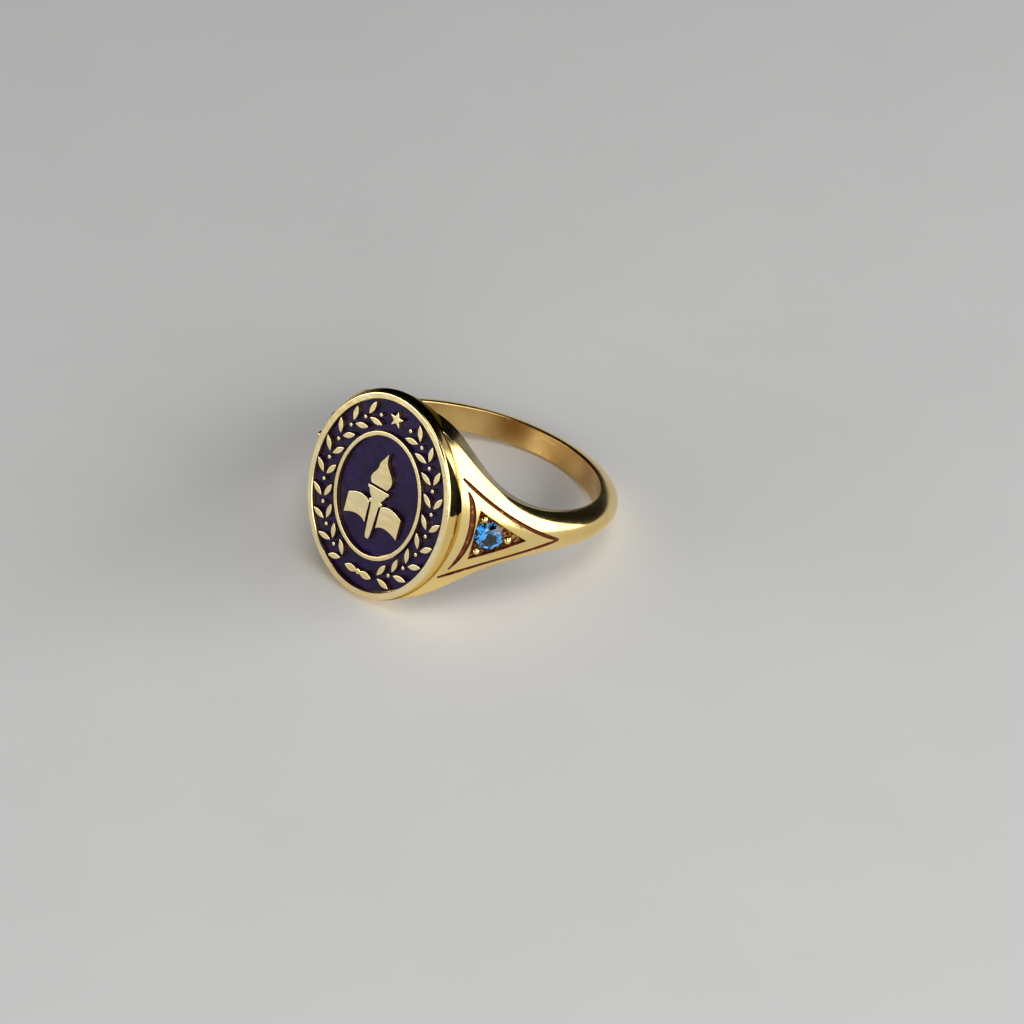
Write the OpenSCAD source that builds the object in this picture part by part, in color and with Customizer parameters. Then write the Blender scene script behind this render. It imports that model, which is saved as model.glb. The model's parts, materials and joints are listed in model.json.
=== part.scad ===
// Class ring with an oval enamelled head and one small round stone in each shoulder.
// Every piece is drawn about the finger hole's axis (+Z), with the head towards -Y,
// and then laid on its side, as the ring rests by itself, with the origin on the surface.

/* [Finger hole] */
// Diameter of the finger hole
bore_d = 17.3; // [15:0.1:21]

/* [Band] */
// Thickness of the band at the back
band_thick = 1.5; // [1.2:0.05:1.8]
// Width of the band at the back, along the finger
band_w = 1.8; // [1.6:0.05:2.6]
// How much thicker the shoulders are than the band
shoulder_rise = 1.15; // [0.95:0.05:1.3]
// Width of the shoulders where they meet the head, along the finger
shoulder_w = 13.4; // [12.8:0.1:13.8]
// Angle from the middle of the head at which the shoulders are half as wide
shoulder_angle = 39; // [37:0.5:41]
// How sharply the shoulders narrow at that angle
shoulder_taper = 3.5; // [3.2:0.05:3.8]

/* [Head] */
// Length of the oval face, along the finger
face_l = 14.6; // [14.3:0.1:16]
// Width of the oval face, across the finger
face_w = 12.1; // [11.6:0.1:12.6]
// Height of the face above the finger hole
head_h = 1.9; // [1.8:0.05:2.3]
// How far the shoulders stay below the face
shoulder_drop = 0.12; // [0.1:0.01:0.3]
// How far the head's side wall swells out below the face
head_swell = 0.12; // [0.06:0.01:0.25]
// Depth below the face at which it swells most
swell_depth = 0.75; // [0.6:0.01:0.9]
// Lean of the wall from there to the finger hole at the ends of the oval, in degrees
head_lean = 24; // [21:0.5:28]
// Lean of the wall at the sides of the oval, where the shoulders meet it, in degrees
side_lean = 3; // [0:0.5:8]
// Bevel round the outer edge of the face
rim_bevel = 0.12; // [0.06:0.01:0.2]
// Width of the flat rim round the enamel
rim_w = 0.5; // [0.4:0.01:0.6]

/* [Enamel and relief] */
// Depth from the face down to the enamel
enamel_recess = 0.38; // [0.25:0.01:0.45]
// Thickness of the enamel
enamel_thick = 0.35; // [0.25:0.01:0.4]
// Gap between the enamel and the metal
enamel_gap = 0.03; // [0.02:0.005:0.05]
// Width of the outer enamel at the ends of the oval
wreath_l = 2.25; // [2.1:0.05:2.4]
// Width of the outer enamel at the sides of the oval
wreath_w = 1.85; // [1.75:0.05:2]
// Width of the metal of the inner oval ring
inner_rim_w = 0.28; // [0.2:0.01:0.35]
// Length of a laurel leaf
leaf_l = 1.12; // [0.9:0.02:1.2]
// Width of a laurel leaf
leaf_w = 0.4; // [0.3:0.01:0.46]
// Distance from one pair of leaves to the next
leaf_pitch = 1.36; // [1.3:0.02:1.6]
// Angle of a leaf to the stem
leaf_angle = 38; // [32:1:44]
// Diameter of a berry between the leaves
berry_d = 0.26; // [0.18:0.01:0.3]
// Height of the torch and flame in the middle
torch_l = 6.3; // [5.8:0.1:6.6]
// Width of the open book behind the torch
book_w = 4.7; // [4.4:0.05:4.9]

/* [Shoulder panels] */
// Angle from the middle of the head to the stone
stone_angle = 44.5; // [43:0.5:46]
// Angle at which a panel starts, by the head
panel_start = 31; // [30:0.5:33]
// Angle of a panel's point, towards the back
panel_end = 73.5; // [71:0.5:76]
// Width of a panel at the head, along the finger
panel_w = 7.4; // [6.8:0.1:7.8]
// Width of an engraved line
groove_w = 0.2; // [0.14:0.01:0.24]
// Depth of an engraved line
groove_depth = 0.22; // [0.16:0.01:0.26]
// Distance from the head's wall to the broad engraved line
crescent_gap = 0.5; // [0.42:0.01:0.56]
// Greatest width of the broad engraved line
crescent_w = 0.36; // [0.26:0.01:0.4]
// Length of the broad engraved line, along the finger
crescent_l = 5.8; // [5.2:0.1:6.2]

/* [Stones] */
// Diameter of a stone
stone_d = 2; // [1.8:0.02:2.1]
// Width of a stone's table
table_d = 1.16; // [1.05:0.01:1.25]
// Height of a stone's crown
crown_h = 0.3; // [0.24:0.01:0.34]
// Thickness of a stone's girdle
girdle_h = 0.06; // [0.04:0.01:0.1]
// Depth of a stone's pavilion
pavilion_h = 0.82; // [0.76:0.01:0.88]
// Depth of the girdle below the shoulder's surface
girdle_depth = 0.2; // [0.16:0.01:0.26]
// Gap between a stone and its seat
stone_gap = 0.03; // [0.02:0.005:0.05]
// Depth of the three cornered recess round a stone
recess_depth = 0.3; // [0.26:0.01:0.36]
// Metal between a stone and the long point of its recess
recess_tip = 1.6; // [1.4:0.05:1.8]
// Metal beside a stone at the wide end of its recess
recess_side = 0.8; // [0.7:0.02:0.9]
// Diameter of a bead that holds a stone
bead_d = 0.56; // [0.46:0.01:0.6]

/* [Hidden] */

gold = "#d8b968";
purple = "#2c1c48";
blue = "#1f6fb8";

// Cuts run this far past the metal
over = 1;
// Angle from the middle of the head to the back of the band
half_turn = 180;
// Ring of the loft every few degrees, and points round a quarter of its section
station_step = 4;
quarter_points = 7;
// Points round an oval
oval_points = 96;

bore_r = bore_d / 2;
face_r = bore_r + head_h;
oval_a = face_l / 2;
oval_b = face_w / 2;
field_a = oval_a - rim_w;
field_b = oval_b - rim_w;
inner_a = field_a - wreath_l;
inner_b = field_b - wreath_w;
pocket_depth = enamel_recess + enamel_thick;

// Share of the shoulders' width that is left at an angle from the head
function shoulder_share(angle) = 1 / (1 + pow(abs(angle) / shoulder_angle, shoulder_taper));
function half_width(angle) =
    band_w / 2 + (shoulder_w - band_w) / 2 * shoulder_share(angle);

// Rise of the shoulders, which fades smoothly into the band at the sides
rise_blend = 0.2;
rise_power = 1.5;
function rise_share(angle) =
    pow((cos(angle) + sqrt(pow(cos(angle), 2) + pow(rise_blend, 2))) / 2, rise_power);
function outer_r(angle) = bore_r + band_thick + shoulder_rise * rise_share(angle);

// The section is a half round on a narrow edge at the back. At the shoulders it has upright
// sides, and a flank that is nearly flat in the middle and falls off to a crisp edge.
edge_h = 0.1;
side_share = 0.66;
crown_angle = 60;
crown_taper = 4;
function crown_share(angle) = 1 / (1 + pow(abs(angle) / crown_angle, crown_taper));
function side_h(angle) =
    edge_h + (side_share * (outer_r(angle) - bore_r) - edge_h) * crown_share(angle);

// How far the head's wall stands outside the face's oval, at a depth below the face
function wall_offset(depth, lean) =
    depth <= rim_bevel ? depth - rim_bevel :
    depth <= swell_depth ? head_swell * sin(90 * (depth - rim_bevel) / (swell_depth - rim_bevel)) :
    head_swell - (depth - swell_depth) * tan(lean);
swell_rows = 4;
wall_depths = concat([0],
    [for (i = [0 : swell_rows]) rim_bevel + (swell_depth - rim_bevel) * i / swell_rows]);

// Resting tilt: the swollen tip of the head and the half round back both touch the surface
back_edge = side_h(half_turn);
back_round = outer_r(half_turn) - bore_r - back_edge;
function back_reach(tilt) = back_edge * sin(tilt)
    + sqrt(pow(back_round * sin(tilt), 2) + pow(half_width(half_turn) * cos(tilt), 2));
function rest_tilt(tilt, turns) = turns == 0 ? tilt : rest_tilt(
    atan(((oval_a + head_swell) * cos(tilt) - back_reach(tilt))
        / ((face_r - swell_depth + bore_r) * cos(tilt))),
    turns - 1);
tilt = rest_tilt(18, 12);
lift = (oval_a + head_swell) * cos(tilt) - (face_r - swell_depth) * sin(tilt);
front_y = -max([for (d = wall_depths)
    (face_r - d) * cos(tilt) + (oval_a + wall_offset(d, head_lean)) * sin(tilt)]);
back_y = (bore_r + back_edge) * cos(tilt)
    + sqrt(pow(back_round * cos(tilt), 2) + pow(half_width(half_turn) * sin(tilt), 2));
middle_y = (front_y + back_y) / 2;

module rest() {
    translate([0, -middle_y, lift])
        rotate([-tilt, 0, 0])
            children();
}

// Face plane: X across, Y along the finger, Z out of the head, zero at the bore's axis
module on_head() {
    rotate([90, 0, 0])
        children();
}

// Shoulder plane: X towards the back, Y along the finger, Z outwards through the stone
module on_shoulder() {
    rotate([0, 0, stone_angle])
        rotate([90, 0, 0])
            children();
}

module both_shoulders() {
    children();
    mirror([1, 0, 0])
        children();
}

function oval(a, b) = [for (i = [0 : oval_points - 1])
    [b * sin(360 * i / oval_points), a * cos(360 * i / oval_points)]];

// Band and shoulders as one loft round the finger, started inside the bore's wall
function quarter(angle, side, i) =
    let (turn = 90 * i / (quarter_points - 1), share = crown_share(angle), base = side_h(angle))
    [bore_r + base + (outer_r(angle) - bore_r - base) * pow(sin(turn), 1 + share),
     side * half_width(angle) * pow(cos(turn), 1 - share / 2)];

function section(angle) = concat(
    [[bore_r - over, half_width(angle)]],
    [for (i = [0 : quarter_points - 1]) quarter(angle, 1, i)],
    [for (i = [quarter_points - 2 : -1 : 0]) quarter(angle, -1, i)],
    [[bore_r - over, -half_width(angle)]]);

// Closed loft through rings of points, each with the same count
module loft(rings, closed = false) {
    count = len(rings[0]);
    last = len(rings) - (closed ? 1 : 2);
    sides = [for (s = [0 : last]) for (i = [0 : count - 1])
        let (s2 = (s + 1) % len(rings), i2 = (i + 1) % count)
        for (f = [[s * count + i, s2 * count + i, s * count + i2],
                  [s2 * count + i, s2 * count + i2, s * count + i2]]) f];
    caps = closed ? [] : [
        [for (i = [0 : count - 1]) i],
        [for (i = [count - 1 : -1 : 0]) (len(rings) - 1) * count + i]];
    polyhedron([for (r = rings) for (p = r) p], concat(sides, caps));
}

// Section at its place round the finger, set in towards the axis by an inset
function station(angle, inset = 0) =
    [for (p = section(angle > 180 ? 360 - angle : angle))
        [(p[0] - inset) * sin(angle), (inset - p[0]) * cos(angle), p[1]]];

module band_loft() {
    loft([for (angle = [0 : station_step : 359]) station(angle)], true);
}

// Solid oval head, from its root inside the band up to the bevelled face
module head_solid() {
    root_depth = face_r - sqrt(pow(bore_r, 2) - pow(oval_b, 2)) + over / 2;
    loft([for (depth = concat(wall_depths, [root_depth]))
        [for (p = oval(oval_a + wall_offset(depth, head_lean), oval_b + wall_offset(depth, side_lean)))
            [p[0], p[1], face_r - depth]]]);
}

// Ornament in the face plane
leaf_points = 6;
function leaf(l, w) = concat(
    [for (i = [0 : leaf_points]) [l * (i / leaf_points - 0.5), w / 2 * sin(180 * i / leaf_points)]],
    [for (i = [leaf_points - 1 : -1 : 1])
        [l * (i / leaf_points - 0.5), -w / 2 * sin(180 * i / leaf_points)]]);

module leaf_pair() {
    for (side = [-1, 1])
        translate([0, side * leaf_w * 0.3])
            rotate(side * leaf_angle)
                translate([leaf_l / 2, 0])
                    polygon(leaf(leaf_l, leaf_w));
}

// Path of the wreath, half way between the inner ring and the rim
path_a = (field_a + inner_a) / 2;
path_b = (field_b + inner_b) / 2;
path_length = PI * (3 * (path_a + path_b) - sqrt((3 * path_a + path_b) * (path_a + 3 * path_b)));
// Room left for the knot and for the star, and where a berry lies between two pairs, in pitches
branch_start = 1.35;
berry_share = 0.74;
pairs = floor(path_length / 2 / leaf_pitch - 2 * branch_start + 0.5);
wreath_start = 360 / path_length * leaf_pitch * branch_start;
wreath_step = (half_turn - 2 * wreath_start) / (pairs - 0.5);

// One branch climbs each side from the knot at the bottom to the star at the top
module branch() {
    for (i = [0 : pairs - 1]) {
        at = -90 + wreath_start + i * wreath_step;
        next = at + wreath_step * berry_share;
        here = [path_b * cos(at), path_a * sin(at)];
        way = atan2(path_a * cos(at), -path_b * sin(at));
        translate(here)
            rotate(way)
                leaf_pair();
        translate([path_b * cos(next), path_a * sin(next)])
            circle(d = berry_d, $fn = 16);
    }
}

star_d = 1.25;
star_waist = 0.4;
module star() {
    polygon([for (i = [0 : 9]) let (r = star_d / 2 * (i % 2 == 0 ? 1 : star_waist))
        [r * sin(36 * i), r * cos(36 * i)]]);
}

module knot() {
    for (side = [0, 180])
        rotate(side)
            translate([leaf_l * 0.56, 0])
                polygon(leaf(leaf_l, leaf_w * 1.3));
    circle(d = berry_d * 1.5, $fn = 16);
}

module wreath() {
    branch();
    mirror([1, 0])
        branch();
    translate([0, path_a])
        star();
    translate([0, -path_a])
        knot();
}

// Torch: each row is a height and a half width, as shares of the torch's length
torch_outline = [
    [-0.5, 0.02], [-0.46, 0.034], [-0.1, 0.056], [-0.092, 0.09], [-0.06, 0.09],
    [-0.052, 0.06], [0, 0.1], [0.05, 0.125], [0.052, 0.145], [0.085, 0.145]];
// Flame: each row is a height and its left and right edges, as shares of the same length
flame_outline = [
    [0.115, -0.11, 0.11], [0.17, -0.135, 0.14], [0.22, -0.12, 0.145], [0.27, -0.085, 0.125],
    [0.32, -0.065, 0.085], [0.37, -0.06, 0.045], [0.42, -0.03, 0.025], [0.5, 0.018, 0.02]];
// Page: the corners of one page of the book, across and up, as shares of its width and height
page_outline = [
    [0.21, 0.38], [0.33, 0.48], [0.52, 0.53], [0.76, 0.48], [1, 0.34], [1, -0.46],
    [0.76, -0.34], [0.52, -0.29], [0.33, -0.34], [0.21, -0.44]];
page_l = 1.85;
book_drop = 1.35;

module torch() {
    last = len(torch_outline) - 1;
    polygon(torch_l * concat(
        [for (i = [0 : last]) [-torch_outline[i][1], torch_outline[i][0]]],
        [for (i = [last : -1 : 0]) [torch_outline[i][1], torch_outline[i][0]]]));
}

module flame() {
    last = len(flame_outline) - 1;
    polygon(torch_l * concat(
        [for (i = [0 : last]) [flame_outline[i][1], flame_outline[i][0]]],
        [for (i = [last : -1 : 0]) [flame_outline[i][2], flame_outline[i][0]]]));
}

module page() {
    polygon([for (p = page_outline) [p[0] * book_w / 2, p[1] * page_l - book_drop]]);
}

module emblem() {
    torch();
    flame();
    page();
    mirror([1, 0])
        page();
}

// Raised metal on the floor of the pocket, flush with the face
module relief() {
    translate([0, 0, face_r - pocket_depth - over / 10])
        linear_extrude(pocket_depth + over / 10) {
            difference() {
                polygon(oval(inner_a, inner_b));
                polygon(oval(inner_a - inner_rim_w, inner_b - inner_rim_w));
            }
            wreath();
            emblem();
        }
}

// Outline of a curved line of even width in the shoulder plane, from point to point
function bend(a, b, c, t) = (1 - t) * (1 - t) * a + 2 * t * (1 - t) * b + t * t * c;
line_points = 10;
line_bend = [0.45, 0.38];

function panel_point(angle, z) = [outer_r(angle) * sin(angle - stone_angle), z];
line_start = panel_point(panel_start, panel_w / 2);
line_end = panel_point(panel_end, 0);
line_middle = [line_start[0] + (line_end[0] - line_start[0]) * line_bend[0],
    line_start[1] * line_bend[1]];

module side_line() {
    middle = [for (i = [0 : line_points]) bend(line_start, line_middle, line_end, i / line_points)];
    way = [for (i = [0 : line_points]) let (
        d = middle[min(i + 1, line_points)] - middle[max(i - 1, 0)]) [-d[1], d[0]] / norm(d)];
    polygon(concat([for (i = [0 : line_points]) middle[i] + way[i] * groove_w / 2],
        [for (i = [line_points : -1 : 0]) middle[i] - way[i] * groove_w / 2]));
}

// Broad line that follows the head's wall, blunt at its upper end and thin at its lower end
blunt_power = 6;
thin_power = 2;
function by_wall(z, gap) =
    let (across = oval_b * sqrt(1 - pow(z / oval_a, 2)) + gap, r = outer_r(panel_start + 8))
    [r * sin(asin(across / r) - stone_angle), z];

module crescent() {
    heights = [for (i = [-line_points : line_points]) crescent_l / 2 * i / line_points];
    inner = [for (z = heights) by_wall(z, crescent_gap)];
    outer = [for (i = [len(heights) - 1 : -1 : 0]) let (
        z = heights[i],
        share = 1 - pow(abs(2 * z / crescent_l), z > 0 ? blunt_power : thin_power))
        by_wall(z, crescent_gap + 0.02 + (crescent_w - 0.02) * share)];
    polygon(concat(inner, outer));
}

// Cutter with a floor that follows the shoulder's surface at a depth, over the panel's angles
floor_start = 20;
floor_end = 84;
module shoulder_cut(depth) {
    difference() {
        on_shoulder()
            translate([0, 0, bore_r])
                linear_extrude(band_thick + shoulder_rise + over)
                    children();
        loft([for (angle = [floor_start : station_step : floor_end]) station(angle, depth)]);
    }
}

module engraving() {
    shoulder_cut(groove_depth) {
        side_line();
        mirror([0, 1])
            side_line();
        crescent();
    }
}

module recess() {
    shoulder_cut(recess_depth)
        polygon([
            [-stone_d / 2 + 0.04, stone_d / 2 + recess_side],
            [stone_d / 2 + recess_tip, 0],
            [-stone_d / 2 + 0.04, -stone_d / 2 - recess_side]]);
}

// Stone in its own plane, with the girdle's upper edge at zero
surface_r = outer_r(stone_angle);
girdle_r = surface_r - girdle_depth;

// Eight sided cone whose sides lie at the given radii, turned by so many half facets
half_facet = 22.5;
module eight_cone(turns, edge_r, tip_r, height) {
    rotate(turns * half_facet)
        cylinder(r1 = edge_r / cos(half_facet), r2 = tip_r / cos(half_facet), h = height, $fn = 8);
}

// Round brilliant: main facets crossed by two turned sets that split the girdle facets
module brilliant() {
    r = stone_d / 2;
    steep = 1.35;
    intersection() {
        union() {
            intersection() {
                eight_cone(0, r, table_d / 2, crown_h);
                eight_cone(1, r, table_d / 2, crown_h);
            }
            translate([0, 0, -girdle_h])
                intersection() {
                    eight_cone(0, r, r, girdle_h);
                    eight_cone(1, r, r, girdle_h);
                }
            translate([0, 0, -girdle_h])
                mirror([0, 0, 1])
                    intersection() {
                        eight_cone(0, r, 0.01, pavilion_h);
                        eight_cone(1, r, r * (1 - 1 / steep), pavilion_h);
                    }
        }
        translate([0, 0, -2 * pavilion_h])
            cylinder(r = r, h = 4 * pavilion_h, $fn = 48);
    }
}

module seat() {
    on_shoulder()
        translate([0, 0, girdle_r - girdle_h - stone_gap]) {
            cylinder(r = stone_d / 2 + stone_gap, h = girdle_depth + over, $fn = 48);
            translate([0, 0, -pavilion_h])
                cylinder(r1 = 0.1, r2 = stone_d / 2 + stone_gap, h = pavilion_h, $fn = 48);
        }
}

// Three beads raised from the recess and pushed over the girdle
bead_out = stone_d / 2 + bead_d / 2 + stone_gap;
module beads() {
    on_shoulder()
        for (turn = [0, 115, -115])
            rotate(turn)
                translate([bead_out, 0, girdle_r])
                    sphere(d = bead_d, $fn = 24);
}

module bead_roots() {
    on_shoulder()
        for (turn = [0, 115, -115])
            rotate(turn)
                translate([bead_out, 0, bore_r + band_thick / 2])
                    cylinder(d = bead_d, h = girdle_r - bore_r - band_thick / 2, $fn = 24);
}

module ring_body() {
    color(gold)
        rest() {
            difference() {
                union() {
                    difference() {
                        band_loft();
                        on_head()
                            translate([-shoulder_w, -shoulder_w, face_r - shoulder_drop])
                                cube([2 * shoulder_w, 2 * shoulder_w, 2 * shoulder_rise]);
                    }
                    on_head()
                        head_solid();
                }
                translate([0, 0, -face_l])
                    cylinder(r = bore_r, h = 2 * face_l, $fn = 180);
                on_head()
                    translate([0, 0, face_r - pocket_depth])
                        linear_extrude(pocket_depth + over)
                            polygon(oval(field_a, field_b));
                both_shoulders() {
                    engraving();
                    recess();
                    seat();
                }
            }
            on_head()
                relief();
            both_shoulders() {
                beads();
                bead_roots();
            }
        }
}

// Enamel lies in the pocket and stays clear of the raised metal by its gap all round
module enamel_layer() {
    on_head()
        translate([0, 0, face_r - pocket_depth + enamel_gap])
            linear_extrude(enamel_thick - enamel_gap)
                children();
}

module enamel_band() {
    color(purple)
        rest()
            enamel_layer()
                difference() {
                    polygon(oval(field_a - enamel_gap, field_b - enamel_gap));
                    polygon(oval(inner_a + enamel_gap, inner_b + enamel_gap));
                    offset(delta = enamel_gap)
                        wreath();
                }
}

module enamel_centre() {
    edge_a = inner_a - inner_rim_w - enamel_gap;
    edge_b = inner_b - inner_rim_w - enamel_gap;
    color(purple)
        rest()
            enamel_layer()
                difference() {
                    polygon(oval(edge_a, edge_b));
                    offset(delta = enamel_gap)
                        emblem();
                }
}

module stone_right() {
    color(blue)
        rest()
            on_shoulder()
                translate([0, 0, girdle_r])
                    brilliant();
}

module stone_left() {
    color(blue)
        rest()
            mirror([1, 0, 0])
                on_shoulder()
                    translate([0, 0, girdle_r])
                        brilliant();
}

ring_body();
enamel_band();
enamel_centre();
stone_right();
stone_left();
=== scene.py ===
import json
import math

import bpy
import numpy as np
from mathutils import Matrix, Vector


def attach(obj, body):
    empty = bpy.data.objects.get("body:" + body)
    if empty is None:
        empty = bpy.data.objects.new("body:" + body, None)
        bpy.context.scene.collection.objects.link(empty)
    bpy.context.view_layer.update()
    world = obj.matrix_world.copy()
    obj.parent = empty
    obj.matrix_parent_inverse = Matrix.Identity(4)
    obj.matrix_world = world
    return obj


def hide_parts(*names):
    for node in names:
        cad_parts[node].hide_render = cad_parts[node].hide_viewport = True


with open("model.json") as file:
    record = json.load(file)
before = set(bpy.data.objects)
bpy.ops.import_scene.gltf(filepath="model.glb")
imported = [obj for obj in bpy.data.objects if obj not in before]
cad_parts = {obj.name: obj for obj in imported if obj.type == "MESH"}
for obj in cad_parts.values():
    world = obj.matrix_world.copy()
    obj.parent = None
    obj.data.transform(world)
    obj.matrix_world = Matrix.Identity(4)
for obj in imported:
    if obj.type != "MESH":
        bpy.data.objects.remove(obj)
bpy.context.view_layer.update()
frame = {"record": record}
scene = bpy.context.scene

# Band and shoulders
# The ring is one casting in yellow gold. Its band is a half round at the back, and it grows
# wide and thick towards the head into shoulders with upright sides and a gently rounded flank.

# The whole ring is modelled in millimetres about the finger hole's axis, with the head
# towards -Y, and each finished piece is then laid down as the ring rests
MM = 0.001
hole = next(m for m in frame["record"]["mounts"] if m["name"] == "finger_hole")
bore_r = hole["dims"]["r_mm"]
rest_tilt = math.atan2(hole["axis"][1], hole["axis"][2])
at_rest = (Matrix.Translation(hole["pos_m"]) @ Matrix.Rotation(-rest_tilt, 4, "X")
           @ Matrix.Scale(MM, 4))

band_thick = 1.5
band_w = 1.8
shoulder_rise = 1.15
rise_blend = 0.2
rise_power = 1.5
shoulder_w = 13.4
shoulder_angle = 39
shoulder_taper = 3.5
edge_h = 0.1
side_share = 0.66
crown_angle = 60
crown_taper = 4
edge_round = 0.1
band_stations = 288
flank_samples = 721
flank_points = 34
edge_points = 4
section_points = 2 * (flank_points + edge_points) + 1
inside_bore = 0.6
face_r = bore_r + 1.9
shoulder_drop = 0.12


def half_width(angle):
    share = 1 / (1 + (np.abs(angle) / shoulder_angle) ** shoulder_taper)
    return band_w / 2 + (shoulder_w - band_w) / 2 * share


def outer_r(angle):
    cosine = np.cos(np.radians(angle))
    share = (cosine + np.hypot(cosine, rise_blend)) / 2
    return bore_r + band_thick + shoulder_rise * share ** rise_power


def crown(angle):
    """Height of the upright side, and the two powers that shape the flank above it."""
    share = 1 / (1 + (np.abs(angle) / crown_angle) ** crown_taper)
    side = edge_h + (side_share * (outer_r(angle) - bore_r) - edge_h) * share
    return side, 1 + share, 1 - share / 2


def on_ring(angle, r, z):
    turn = np.radians(angle)
    return np.stack([r * np.sin(turn), -r * np.cos(turn), z], axis=-1)


def band_section(angle):
    """Closed section at an angle from the head: the flank, whose edges are rounded over a
    little by polishing, the upright sides, and two points inside the bore."""
    side, rise, fall = crown(angle)
    turns = np.radians(np.linspace(0, 90, flank_samples))
    r = bore_r + side + (outer_r(angle) - bore_r - side) * np.sin(turns) ** rise
    z = half_width(angle) * np.cos(turns).clip(0) ** fall
    run = np.r_[0, np.cumsum(np.hypot(np.diff(r), np.diff(z)))]
    corner = np.array([r[0], z[0]])
    soft = min(edge_round, side / 2)
    even = soft + (run[-1] - soft) * np.linspace(0, 1, flank_points)
    flank = np.c_[np.interp(even, run, r), np.interp(even, run, z)]
    t = np.linspace(0, 1, edge_points + 1)[:-1, None]
    edge = ((1 - t) ** 2 * (corner - (soft, 0)) + 2 * t * (1 - t) * corner + t ** 2 * flank[0])
    half = np.vstack([(bore_r - inside_bore, z[0]), edge, flank])
    return np.vstack([half, half[-2::-1] * (1, -1)])


def deselect():
    bpy.ops.object.select_all(action="DESELECT")


def only(piece):
    deselect()
    piece.select_set(True)
    bpy.context.view_layer.objects.active = piece
    return piece


def points_of(piece):
    flat = np.empty(len(piece.data.vertices) * 3)
    piece.data.vertices.foreach_get("co", flat)
    return flat.reshape(-1, 3)


def move_points(piece, points):
    piece.data.vertices.foreach_set("co", np.asarray(points, float).ravel())
    piece.data.update()


def rolled_grid(name, around, along, place):
    """A grid primitive rolled up into a closed form: place(u, v) gives the point for each step
    round the section and along the piece. The seam is merged and open ends are filled."""
    deselect()
    bpy.ops.mesh.primitive_grid_add(x_subdivisions=around, y_subdivisions=along, size=1)
    piece = bpy.context.active_object
    piece.name = piece.data.name = name
    flat = points_of(piece)
    u = np.rint((flat[:, 0] + 0.5) * around).astype(int)
    v = np.rint((flat[:, 1] + 0.5) * along).astype(int)
    move_points(piece, place(u, v))
    bpy.ops.object.mode_set(mode="EDIT")
    bpy.ops.mesh.select_all(action="SELECT")
    bpy.ops.mesh.remove_doubles(threshold=1e-5)
    bpy.ops.mesh.fill_holes(sides=0)
    bpy.ops.mesh.select_all(action="SELECT")
    bpy.ops.mesh.normals_make_consistent(inside=False)
    bpy.ops.object.mode_set(mode="OBJECT")
    return piece


sections = np.stack([band_section(min(a, 360 - a))
                     for a in np.arange(band_stations) * 360 / band_stations])
metal = rolled_grid(
    "ring_metal", section_points, band_stations,
    lambda u, v: on_ring(v * 360 / band_stations,
                         *sections[v % band_stations, u % section_points].T))

# The shoulders stop a little below the face, so the casting is sawn flat there
bpy.ops.object.mode_set(mode="EDIT")
bpy.ops.mesh.select_all(action="SELECT")
bpy.ops.mesh.bisect(plane_co=(0, shoulder_drop - face_r, 0), plane_no=(0, -1, 0),
                    use_fill=True, clear_outer=True)
bpy.ops.object.mode_set(mode="OBJECT")


def add(tree, kind, inputs=(), **settings):
    """A shader node with these settings, and a value or a link for each input."""
    node = tree.nodes.new("ShaderNode" + kind)
    for name, value in settings.items():
        setattr(node, name, value)
    for name, value in dict(inputs).items():
        if isinstance(value, bpy.types.NodeSocket):
            tree.links.new(value, node.inputs[name])
        else:
            node.inputs[name].default_value = value
    return node


def noise(tree, place, size, detail=2.0, roughness=0.5):
    """Cloudy pattern whose blotches are about this many millimetres across."""
    return add(tree, "TexNoise", {"Vector": place, "Scale": 0.5 / (size * MM), "Detail": detail,
                                  "Roughness": roughness}).outputs[0]


def spread(tree, value, low, high, to_low=0.0, to_high=1.0):
    """The value, stretched smoothly from one range to another."""
    return add(tree, "MapRange", {"Value": value, "From Min": low, "From Max": high,
                                  "To Min": to_low, "To Max": to_high},
               interpolation_type="SMOOTHSTEP").outputs[0]


def blend(tree, factor, first, second):
    """Colour between two colours. Its sockets are those that a colour mix uses."""
    mix = add(tree, "Mix", data_type="RGBA")
    for socket, value in ((0, factor), (6, first), (7, second)):
        if isinstance(value, bpy.types.NodeSocket):
            tree.links.new(value, mix.inputs[socket])
        else:
            mix.inputs[socket].default_value = (*value, 1)
    return mix.outputs[2]


def sums(tree, operation, *values):
    return add(tree, "Math", dict(enumerate(values)), operation=operation).outputs[0]


def effect(name, **outputs):
    """Node group for an effect that several finishes share."""
    tree = bpy.data.node_groups.new(name, "ShaderNodeTree")
    end = tree.nodes.new("NodeGroupOutput")
    for socket, kind in outputs.items():
        tree.interface.new_socket(socket, in_out="OUTPUT", socket_type="NodeSocket" + kind)
    return tree, end


def new_finish(name, metallic, links, **constants):
    """Material with plain numbers on its shader and nodes on the other sockets."""
    material = bpy.data.materials.new(name)
    material.use_nodes = True
    tree = material.node_tree
    shader = tree.nodes["Principled BSDF"]
    shader.inputs["Metallic"].default_value = metallic
    for socket, value in constants.items():
        shader.inputs[socket.replace("_", " ")].default_value = value
    for socket, source in links(tree).items():
        tree.links.new(source, shader.inputs[socket.replace("_", " ")])
    return material


def use(tree, shared):
    node = tree.nodes.new("ShaderNodeGroup")
    node.node_tree = shared
    return node.outputs


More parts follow.
